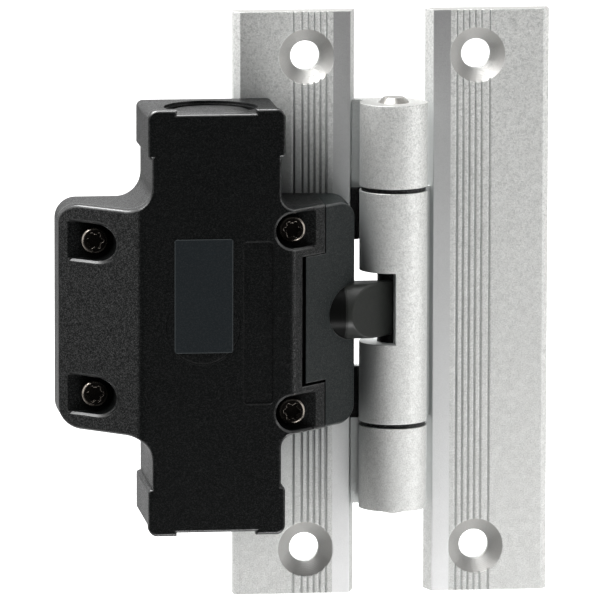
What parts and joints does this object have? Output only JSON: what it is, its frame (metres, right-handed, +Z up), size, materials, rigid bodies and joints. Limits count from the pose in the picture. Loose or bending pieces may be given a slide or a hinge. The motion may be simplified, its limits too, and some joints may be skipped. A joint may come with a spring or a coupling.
{
  "type": "safety hinge switch",
  "caption": "Aluminium hinge whose fixed leaf carries a black plastic switch housing; a notched knuckle drives a sprung plunger that opens the contacts as the door leaf turns.",
  "frame": {"origin": "on the mounting plane, in the middle between the fixed leaf's two bolt holes", "axes": "+X across the leaves to the moving leaf, +Y into the mounting surface, +Z up along the pin"},
  "size_m": [0.1098, 0.0306, 0.13],
  "materials": {
    "leaf_aluminium": "bead-blasted and clear anodised",
    "pin_steel": "ground",
    "bush_plastic": "satin",
    "housing_plastic": "fine texture, glass-fibre filled",
    "head_plastic": "satin",
    "plunger_plastic": "smooth",
    "seal_rubber": "matt",
    "contact_brass": "stamped",
    "spring_steel": "drawn wire",
    "block_plastic": "moulded",
    "clamp_steel": "zinc plated",
    "screw_steel": "dark plated",
    "label_film": "bare printed film, satin"
  },
  "bodies": {
    "fixed": {"fixed_leaf": "leaf_aluminium", "hinge_pin": "pin_steel", "pin_liner": "bush_plastic", "gap_strips": "seal_rubber", "housing_base": "housing_plastic", "housing_cover": "housing_plastic", "cover_gasket": "seal_rubber", "actuator_head": "head_plastic", "head_gasket": "seal_rubber", "plunger_seal": "seal_rubber", "return_spring": "spring_steel", "contact_block": "block_plastic", "fixed_contacts": "contact_brass", "terminal_clamps": "clamp_steel", "terminal_screws": "clamp_steel", "lug_screws": "screw_steel", "ear_screws": "screw_steel", "head_screws": "screw_steel", "label_film": "label_film"},
    "moving": {"moving_leaf": "leaf_aluminium", "upper_bush": "bush_plastic", "lower_bush": "bush_plastic"},
    "plunger": {"plunger": "plunger_plastic", "contact_bars": "contact_brass"}
  },
  "joints": [
    {"name": "leaf_hinge", "type": "hinge", "parent": "fixed", "child": "moving", "pos_m": [0.019, -0.0075, 0], "axis": [0, 0, -1], "range_deg": [0, 135]},
    {"name": "plunger_slide", "type": "slide", "parent": "fixed", "child": "plunger", "axis": [-1, 0, 0], "range_m": [0, 0.0151], "deforming": ["return_spring"]}
  ],
  "couplings": [
    {"joint": "plunger_slide", "follows": "leaf_hinge", "m_per_rad": 0.0064}
  ]
}
